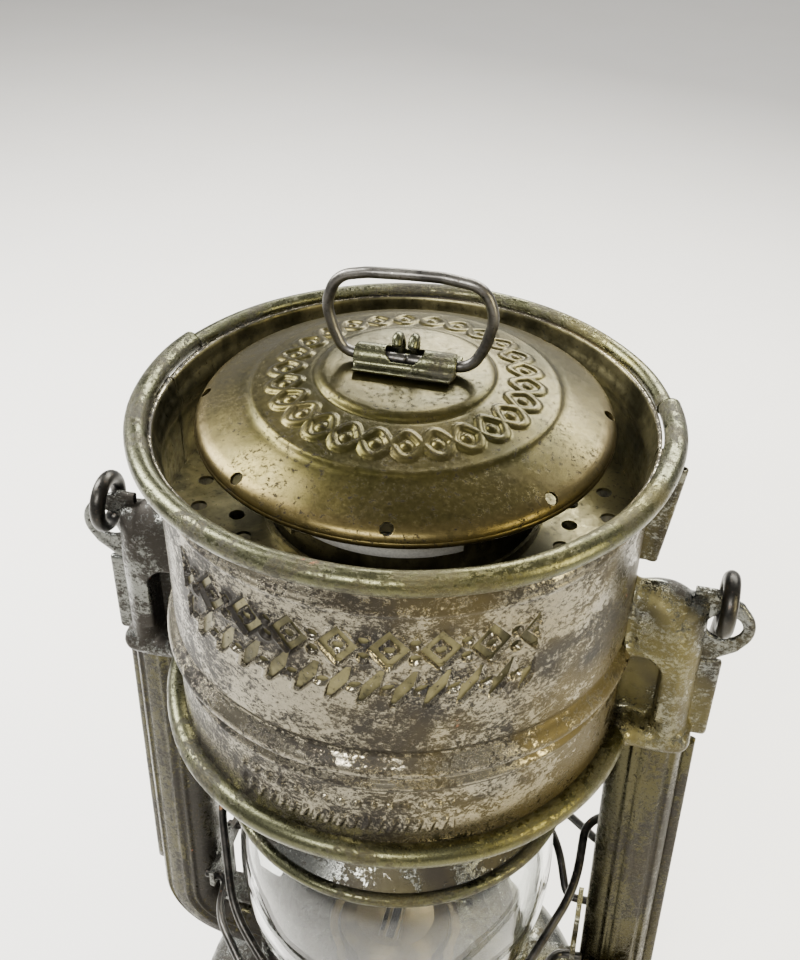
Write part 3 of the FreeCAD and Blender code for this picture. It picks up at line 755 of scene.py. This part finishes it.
def elbow_field(x, y, z):
    """Pressed elbow beside the drum: faceted body, ribbed arched recess, collar and seam strip."""
    half_depth = 6.9 - 0.022 * (x - 55.0) ** 2 - 0.010 * np.maximum(z - 174.0, 0) ** 2
    body = facet_slab(elbow_profile(x, z), y, half_depth, 3.0, 1.6)
    round_top = np.hypot(x - RECESS_X, z - RECESS_TOP)
    arch = np.where(z > RECESS_TOP, round_top, np.abs(x - RECESS_X)) - RECESS_HALF
    arch = np.maximum(arch, RECESS_FOOT - z)
    rib = np.hypot(arch - 1.0, np.abs(y) - 5.0) - 1.25
    body = melt(body, np.where((x > 45) & (z > 160), rib, FAR), 1.4)
    web_half = 0.75
    body = np.maximum(body, -np.maximum(arch, web_half - np.abs(y)))
    web = slab(rounded_box2(x, z, (RECESS_X, 166.0), (6.0, 12.0), 1.0), y, web_half, 0.3)
    body = np.minimum(body, web)
    dip = 0.018 * (x - 53.5) ** 2
    collar = slab(rounded_box2(x, z + 1.2 - dip, (53.2, 154.9), (7.4, 2.6), 2.5), y, 7.2, 2.9)
    body = melt(body, collar, 1.4)
    flange = np.hypot(np.hypot(x, y) - 46.5, z - FLANGE_Z) - 2.2
    body = melt(body, np.where(np.abs(y) < 14, flange, FAR), 2.4)
    strip = slab(rounded_box2(x, z, (60.6, 163.2), (2.9, 10.2), 0.5), y, 0.75, 0.45)
    hem = np.maximum(np.hypot(x - 62.9, y) - 0.85, np.abs(z - 163.4) - 9.8)
    body = melt(body, np.minimum(strip, hem), 0.5)
    wall = np.hypot(x, y) - (WALL_R - 0.2)
    body = melt(body, np.where(z > 158, wall, FAR), 2.2)
    return np.maximum(body, (WALL_R - 0.1) - np.hypot(x, y))


def ear_field(x, y, z):
    """Lug for the bail's eye: a plate with a raised rim round its outer end."""
    corners = [(50.0, 190.4), (60.0, 190.4), (65.0, 187.6), (65.4, 177.0), (61.8, 173.6), (54.0, 173.2)]
    flat = polygon_distance(x, z, corners)
    flat = melt(flat, np.hypot(x - PIVOT_X, z - EYE_Z) - 5.9, 2.0)
    hole = np.hypot((x - PIVOT_X - 0.3) * 0.92, z - EYE_Z) - 3.1
    plate = slab(np.maximum(flat, -hole), y, 0.6, 0.3)
    rim = np.hypot(flat + 0.85, y) - 0.85
    return melt(plate, np.where(x > 51, rim, FAR), 0.5)


def strip_field(x, y, z):
    """Folded seam strip beside the drum, open at its top end."""
    middle_z = 205.7
    x = x + 0.125 * (216.0 - z)    # narrows towards its foot
    fold = slab(rounded_box2(x, z, (47.6, middle_z), (3.0, 10.5), 0.5), y, 0.85, 0.6)
    hem = np.maximum(np.hypot(x - 49.9, y) - 0.9, np.abs(z - middle_z) - 10.4)
    hollow = np.maximum(np.hypot((x - 49.7) * 0.8, y) - 0.5, 213.0 - z)
    return np.maximum(melt(fold, hem, 0.4), -hollow)


def elbows_and_ears():
    """Pressed parts at the drum's sides: each is made on the right and mirrored."""
    shapes = (("elbow", elbow_field, (44.0, -12, 150.0), (64.2, 12, 192.5), 0.36, 3),
              ("ear", ear_field, (56.0, -1.6, 172.0), (69.2, 1.6, 192.0), 0.22, 2),
              ("seam_strip", strip_field, (44.6, -1.6, 194.6), (51.2, 1.6, 216.8), 0.2, 2))
    stands_for = {"elbow": "elbow_%s", "ear": "bail_ear_%s", "seam_strip": "drum_seam_strips"}
    for name, field, low, high, step, passes in shapes:
        right = polish(surface_net(name + "_right", field, low, high, step), passes)
        pieces = {"right": right, "left": mirror_x(right, name + "_left")}
        for side, piece in pieces.items():
            node = stands_for[name]
            place(piece, "frame", plain_tin, "tinplate", node % side if "%" in node else node)


def side_tubes():
    """Flattened air tubes with pressed ridges, and the seam along each one's outer edge."""
    top, corner, end = (52.4, 154.6), (54.3, 57.5), (26.4, 50.1)
    turn = np.linspace(0, 2 * np.pi, 120, endpoint=False)
    u = 7.45 * np.sign(np.cos(turn)) * np.abs(np.cos(turn)) ** 0.72
    v = 5.3 * np.sign(np.sin(turn)) * np.abs(np.sin(turn)) ** 0.72
    lift = 0.9 * bump_line(u, -0.2, 0.9) + 0.6 * bump_line(u, -2.3, 0.8) - 0.6 * bump_line(u, 5.0, 0.8)
    v = v + np.sign(v) * lift * (np.abs(v) > 2)
    path = rounded_line([(x, 0, z) for x, z in (top, corner, end)], 12.0, 1.2)
    way = np.gradient(path, axis=0)
    way /= np.linalg.norm(way, axis=1, keepdims=True)
    across = np.array([0, 1.0, 0])
    frames = [(np.array([-t[2], 0, t[0]]), across) for t in way]
    right = sweep_mesh("tube_right", np.stack([u, v], 1), path, frames)
    seam_path = [(p[0], 0, p[2]) for p in spread([(top[0], 0, 150.8), (54.0, 0, 71.8)], 2.0)]
    turn = np.linspace(0, 2 * np.pi, 24, endpoint=False)
    fold = np.stack([8.35 + 1.4 * np.cos(turn), 0.62 * np.sin(turn)], 1)
    seam = sweep_mesh("tube_seam_right", fold, np.array(seam_path), [frames[0]] * len(seam_path))
    for piece in (right, seam):
        left = mirror_x(piece, piece.name.replace("right", "left"))
        place(piece, "frame", tube_tin, "tinplate", "side_tube_right")
        place(left, "frame", tube_tin, "tinplate", "side_tube_left")


# ---- bail, ring and wires ----

def bail():
    """Bail with a looped eye at each end, drawn hanging straight down, then turned back to rest."""
    eye, wire_r = 4.9, 1.6
    loop = np.radians(np.linspace(-40, 272, 60))
    straight = 44.0
    side = [(PIVOT_X, eye * math.cos(t), eye * math.sin(t)) for t in loop]
    side += [(PIVOT_X, 0.2, -eye - 2.6), (PIVOT_X, 0, -12), (PIVOT_X, 0, -straight)]
    side = spread(side, 0.7)
    bend = np.radians(np.linspace(0, 180, 120))[1:-1]
    middle = [(PIVOT_X * math.cos(t), 0, -straight - PIVOT_X * math.sin(t)) for t in bend]
    path = np.concatenate([side, spread(middle, 0.7), (side * [-1, 1, 1])[::-1]])
    x, y, z = path.T
    c, s = math.cos(BAIL_REST), math.sin(BAIL_REST)
    turned = np.stack([x, y * c - z * s, y * s + z * c + PIVOT_Z], 1)
    place(wire("bail_wire", turned, wire_r, 22), "bail", painted_shade_steel, "steel_wire", "bail")


def lifting_ring():
    """Ring on the cap, bent from wire by hand, so its two sides differ."""
    wire_r = 1.0
    foot = ring_low.z + wire_r
    points = [(0.4, 0), (11.4, 0), (13.8, 4.6), (15.1, 10.2), (13.2, 15.6), (6.0, 16.5), (0, 16.3),
              (-7.0, 15.9), (-12.6, 14.6), (-14.4, 9.0), (-13.2, 4.4), (-11.4, 0), (-0.4, 0)]
    path = rounded_line([(x, 0.12 * math.sin(x), foot + h) for x, h in points], 7.0, 0.5)
    place(wire("lifting_ring", path, wire_r, 20), "lifting_ring", steel, "steel_wire", "cap_ring")


def guard_wires():
    """Wires that slope round the globe, from behind the side tubes to the cradle's brackets."""
    for end, back, start_z in (("front", -1, 113.0), ("rear", 1, 103.0)):
        for tag, side, radius in (("a", 1, 41.4), ("b", -1, 44.0)):
            points = [(-53.0 * side, 7.7, start_z), (-47.0 * side, 7.7, start_z)]
            if back < 0:
                points.append((-43.2 * side, 4.4, start_z - 1.0))
            for i in range(6):
                t = math.radians(12 + 28 * i) if back < 0 else math.radians(24 + 26 * i)
                height = max(start_z - 6.0 - 11.0 * i, 84.0 if back < 0 else 88.0)
                points.append((-side * radius * math.cos(t), back * radius * math.sin(t), height))
            points += [(41.4 * side, 7.8 * back, 80.0), (46.6 * side, 7.8 * back, 80.0)]
            piece = wire("guard_%s_%s" % (end, tag), rounded_line(points, 30.0, 0.8), 1.0, 14)
            place(piece, "globe_cradle", painted_shade_steel, "steel_wire", "guard_wires_" + end)


# ---- chimney and cap ----

def guilloche(angle, radius):
    """Ridge height, 0 to 1, of two crossing waves with a bead in each eye."""
    band = radius - GUILLOCHE_R
    ridge = np.zeros(radius.shape)
    for side in (1, -1):
        swing = side * GUILLOCHE_SWING * np.sin(GUILLOCHE_WAVES * angle)
        slope = GUILLOCHE_SWING * GUILLOCHE_WAVES * np.cos(GUILLOCHE_WAVES * angle) / GUILLOCHE_R
        across = np.abs(band - swing) / np.sqrt(1 + slope ** 2)
        ridge = np.maximum(ridge, np.clip(1 - (across / 0.85) ** 2, 0, 1))
    pitch = math.pi / GUILLOCHE_WAVES
    bead = np.hypot(repeat(angle - pitch / 2, pitch) * GUILLOCHE_R, band)
    return np.maximum(ridge, np.clip(1 - (bead / 1.0) ** 2, 0, 1))


def cut_vents(piece):
    """Cuts round holes through the cap's shoulder, square to its slope."""
    cutters = []
    reach = (CAP_R - 1.7) * MM
    for i in range(VENTS):
        t = math.radians(-81 + 360 / VENTS * i)
        spot = (reach * math.cos(t), reach * math.sin(t), (CAP_TOP - 8.1) * MM)
        bpy.ops.mesh.primitive_cylinder_add(vertices=28, radius=1.15 * MM, depth=4 * MM, location=spot,
                                            rotation=(0, math.radians(42), t))
        cutters.append(bpy.context.object)
    bpy.ops.object.select_all(action="DESELECT")
    for cutter in cutters:
        cutter.select_set(True)
    bpy.context.view_layer.objects.active = cutters[0]
    bpy.ops.object.join()
    cutter = bpy.context.object
    cut = piece.modifiers.new("vents", "BOOLEAN")
    cut.object = cutter
    cut.operation = "DIFFERENCE"
    cut.solver = "EXACT"
    bpy.context.view_layer.update()
    piece.data = bpy.data.meshes.new_from_object(piece.evaluated_get(bpy.context.evaluated_depsgraph_get()))
    piece.modifiers.clear()
    bpy.data.objects.remove(cutter)


def cap():
    """Domed cap with its pressed guilloche, vents and rolled edge."""
    profile = [(CAP_R - 0.3, 10.6), (CAP_R - 0.1, 9.4), (CAP_R - 1.1, 7.9), (33.3, 6.3), (30.0, 4.9),
               (28.1, 4.3), (27.3, 3.5), (26.3, 3.4), (21.5, 2.3), (17.0, 1.3), (16.2, 1.35),
               (15.4, 0.45), (13.8, 0.1), (0.02, 0.05)]
    outer = spread(eased([(r, CAP_TOP - drop) for r, drop in profile], 2), 0.26)
    under = offset(outer[::3], SHEET)[::-1]
    under[:, 0] = np.maximum(under[:, 0], 0.02)
    count = len(outer)

    def pressed(angle, radius, height):
        height = height.copy()
        height[:, :count] += 0.42 * guilloche(angle[:, :count], radius[:, :count]) ** 0.7
        waver = 0.10 * np.sin(2 * angle + 0.7) * (radius / CAP_R) ** 2
        return radius, height + waver

    dome = lathe("cap_dome", np.concatenate([outer, under]), 0, 360, 900, pressed)
    rim = lathe("cap_rim_roll", arc(CAP_R - 0.85, CAP_TOP - 10.2, 0.82, 0, 345, 22), 0, 360, 360)
    cut_vents(dome)
    place(dome, "chimney", cap_sheet, "cap_sheet", "chimney_cap")
    place(rim, "chimney", cap_sheet, "cap_sheet", "chimney_cap")


def clip():
    """Folded saddle over the ring's straight run, with an oval window and two curled tabs."""
    top = CAP_TOP

    def field(x, y, z):
        arch = np.hypot(y, np.maximum(z - top - 1.2, 0)) - 1.95
        roof = np.where(z > top + 0.3, np.abs(arch), 1e9)
        lip = top + 0.35 + 0.5 * np.clip((-y - 3.6) / 1.3, 0, 1) ** 2
        flange = np.hypot(np.abs(z - lip), np.maximum(np.abs(y) - 4.7, 0))
        flange = np.where(np.abs(y) > 1.7, flange, np.hypot(flange, 1.7 - np.abs(y)))
        metal = melt(roof, flange, 1.0) - 0.36
        metal = np.maximum(metal, np.abs(x) - 8.9 + 0.3 * np.sin(1.1 * y))
        window = np.hypot(np.maximum(np.abs(x + 0.3) - 1.5, 0), (y + 0.2) * 0.95) - 1.9
        return np.maximum(metal, -np.maximum(window, top + 1.4 - z))

    saddle = surface_net("ring_clip_saddle", field, (-9.6, -5.8, top - 0.3), (9.6, 5.8, top + 4.4), 0.17)
    place(polish(saddle, 2), "chimney", roll_tin, "cap_sheet", "ring_clip")
    for name, x in (("left", -1.5), ("right", 1.0)):
        path = [(x, 2.0, top + 1.6), (x, 2.1, top + 3.4), (x * 1.15, 1.7, top + 5.0),
                (x * 1.2, 0.4, top + 5.2), (x * 1.1, -0.4, top + 4.2)]
        tab = wire("clip_tab_" + name, rounded_line(path, 1.2, 0.2), 0.92, 16)
        place(tab, "chimney", roll_tin, "cap_sheet", "clip_tabs")


def chimney_spring():
    """Coil in two parts: the lower one takes up globe_lift and the upper one takes up chimney_lift."""
    foot, split, head = 151.7, 167.3, 198.5
    coil_r, turns, keep = 28.2, 6.2, 0.36
    parts = (("lower", foot, split, "chimney", "globe_lift", foot),
             ("upper", split, head, "frame", "chimney_lift", head))
    for tag, low, high, body, joint, anchor in parts:
        z = np.linspace(low, high, int((high - low) * 14))
        turn = 2 * np.pi * turns * (z - foot) / (head - foot)
        helix = np.stack([coil_r * np.cos(turn), coil_r * np.sin(turn), z], 1)
        spring = wire("chimney_spring_" + tag, helix, 0.8, 10)
        place(spring, body, steel, "steel_wire", "chimney_spring")
        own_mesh(spring)


def chimney():
    """Bell with its rolled mouth, the spring's seat, the band at the tube's top with its painted reflection,
    and the spring.
    """
    bell_line = [(37.0, 127.0), (33.0, 130.2), (28.6, 134.0), (26.6, 141.0), (25.6, 150.0), (25.6, 163.0)]
    bell = lathe("bell_sheet", sheet_outline(bell_line, 0.5, 0.8), 0, 360, 240)
    place(bell, "chimney", plain_tin, "tinplate", "chimney_bell")
    mouth = lathe("bell_rim_roll", arc(37.0, 127.3, 1.38, 0, 352, 24), 0, 360, 360)
    place(mouth, "chimney", roll_tin, "tinplate", "chimney_bell")
    seat = lathe("spring_seat", sheet_outline([(25.6, 150.4), (30.3, 150.4)], 0.6, 0.5), 0, 360, 160)
    place(seat, "chimney", plain_tin, "tinplate", "chimney_bell")
    collar = [(24.9, 206.2), (25.4, 206.4), (25.8, 210.6), (25.5, 211.2), (24.6, 211.1), (24.6, 206.4)]
    # painted reflection: the band under the cap gets the pale finish so it shows bright in the shade there
    place(lathe("chimney_top_band", collar, 0, 360, 200), "chimney", painted_reflection_tin, "tinplate")
    chimney_spring()


# ---- globe, fount and the rest ----

def globe():
    """Blown glass globe."""
    line = [(30.4, 65.1), (30.8, 68.5), (32.4, 74.0), (35.2, 82.0), (36.8, 92.0), (37.0, 101.0),
            (36.2, 110.0), (32.6, 118.6), (28.0, 124.0), (25.2, 127.4), (24.5, 131.3)]
    outline = sheet_outline(line, 1.8, 0.9, 3)

    def blown(angle, radius, height):
        ripple = 0.05 * np.sin(2 * angle + 0.05 * height) + 0.03 * np.sin(5 * angle - 0.09 * height)
        return radius + ripple, height

    place(lathe("globe_glass", outline, 0, 360, 256, blown), "globe_cradle", glass, "glass", "globe")


def fount():
    """Fuel tank's pressed shell, and the seam round its foot."""
    line = [(51.5, 4.0), (52.0, 6.6), (52.0, 9.0), (51.5, 10.0), (52.0, 11.0), (52.0, 29.0), (51.9, 31.5),
            (50.6, 34.7), (46.0, 37.5), (38.0, 39.3), (30.0, 40.6), (29.0, 41.0), (11.2, 41.0)]

    def dented(angle, radius, height):
        return radius + 0.07 * np.sin(4 * angle + 0.2 * height) * (radius > 45), height

    shell = lathe("fount_shell", sheet_outline(line, 0.8, 0.6, 2), 0, 360, 420, dented)
    place(shell, "frame", plain_tin, "tinplate", "fount_top_shell")
    inside, outside = 50.6, 52.18
    foot = [(inside, 0.0), (outside, 0.0)]
    foot += arc(outside, 1.0, 1.0, -80, 0, 8) + arc(outside, 3.0, 1.0, 0, 80, 8) + [(inside, 4.0)]
    place(lathe("foot_seam", foot, 0, 360, 360), "frame", roll_tin, "tinplate", "fount_foot_seam")


def carried_over():
    """Fixed CAD pieces keep their shape and get softened edges and a finish."""
    finishes = {
        inner: ["chimney_tube", "cap_straps", "cap_rivets"],
        inner_wall: ["air_baffle_ring"],
        plain_tin: ["burner_chamber", "globe_plate", "cradle_bracket_left", "cradle_bracket_right",
                    "lever_bracket", "lift_lever", "fount_bottom", "filler_neck", "filler_cap"],
        steel: ["lever_pin", "wick_shaft"],
        brass: ["shaft_bushing", "burner_collar", "wick_tube", "burner_cone", "wick_spurs", "wick_knob"],
        cotton_finish(): ["wick"],
        seal_finish(): ["filler_gasket"],
    }
    for paint, names in finishes.items():
        for name in names:
            piece = nodes[name]
            piece.data.materials.clear()
            piece.data.materials.append(paint)
            soft = piece.modifiers.new("soft_edges", "BEVEL")
            soft.width = 0.18 * MM
            soft.segments = 2
            soft.limit_method = "ANGLE"
            soft.angle_limit = math.radians(35)


# ---- stage ----

def aim(item, target):
    """Turns a lamp towards a point."""
    item.rotation_mode = "QUATERNION"
    item.rotation_quaternion = (Vector(target) * MM - item.location).to_track_quat("-Z", "Y")


def soft_light(name, at, target, size, power, colour):
    """Rectangular lamp; place and size in millimetres."""
    data = bpy.data.lights.new(name, "AREA")
    data.shape = "RECTANGLE"
    data.size, data.size_y = size[0] * MM, size[1] * MM
    data.energy = power
    data.color = colour
    lamp = bpy.data.objects.new(name, data)
    bpy.context.scene.collection.objects.link(lamp)
    lamp.location = Vector(at) * MM
    aim(lamp, target)


def stage():
    """Pale floor, even surroundings, and four soft lamps."""
    reach = 3000
    corners = [(-reach, -reach, 0), (reach, -reach, 0), (reach, reach, 0), (-reach, reach, 0)]
    floor = new_mesh("floor", corners, [[0, 1, 2, 3]])
    floor.data.materials.append(floor_finish())
    world = bpy.data.worlds.new("soft_room")
    bpy.context.scene.world = world
    world.use_nodes = True
    back = world.node_tree.nodes["Background"]
    back.inputs["Color"].default_value = (0.95, 0.94, 0.92, 1)
    back.inputs["Strength"].default_value = 0.64
    soft_light("window", (-520, 120, 620), (0, 0, 190), (200, 460), 17.0, (1.0, 0.99, 0.97))
    soft_light("warm_fill", (520, -160, 330), (0, 0, 180), (120, 300), 3.2, (1.0, 0.88, 0.50))
    soft_light("front", (-60, -660, 730), (0, 0, 200), (420, 90), 11.0, (1.0, 0.99, 0.97))
    soft_light("back_wall", (120, 520, 560), (0, 0, 190), (620, 160), 12.0, (1.0, 0.98, 0.90))


def camera():
    """Seen from above and a little to the right, close up."""
    data = bpy.data.cameras.new("view")
    data.lens = 45.0
    data.sensor_width = 36.0
    item = bpy.data.objects.new("view", data)
    bpy.context.scene.collection.objects.link(item)
    pitch, turn, lean = math.radians(35.8), math.radians(13.26), 0.018
    level_way = math.cos(pitch)
    forward = Vector((-math.sin(turn) * level_way, math.cos(turn) * level_way, -math.sin(pitch)))
    item.location = Vector((41.1, -177.8, 336.0)) * MM
    item.rotation_mode = "QUATERNION"
    level = forward.to_track_quat("-Z", "Y")
    item.rotation_quaternion = Quaternion(forward, -lean) @ level
    data.clip_start, data.clip_end = 0.01, 20.0
    bpy.context.scene.camera = item


camera()
stage()
drum()
elbows_and_ears()
side_tubes()
bail()
lifting_ring()
guard_wires()
cap()
clip()
chimney()
globe()
fount()
carried_over()
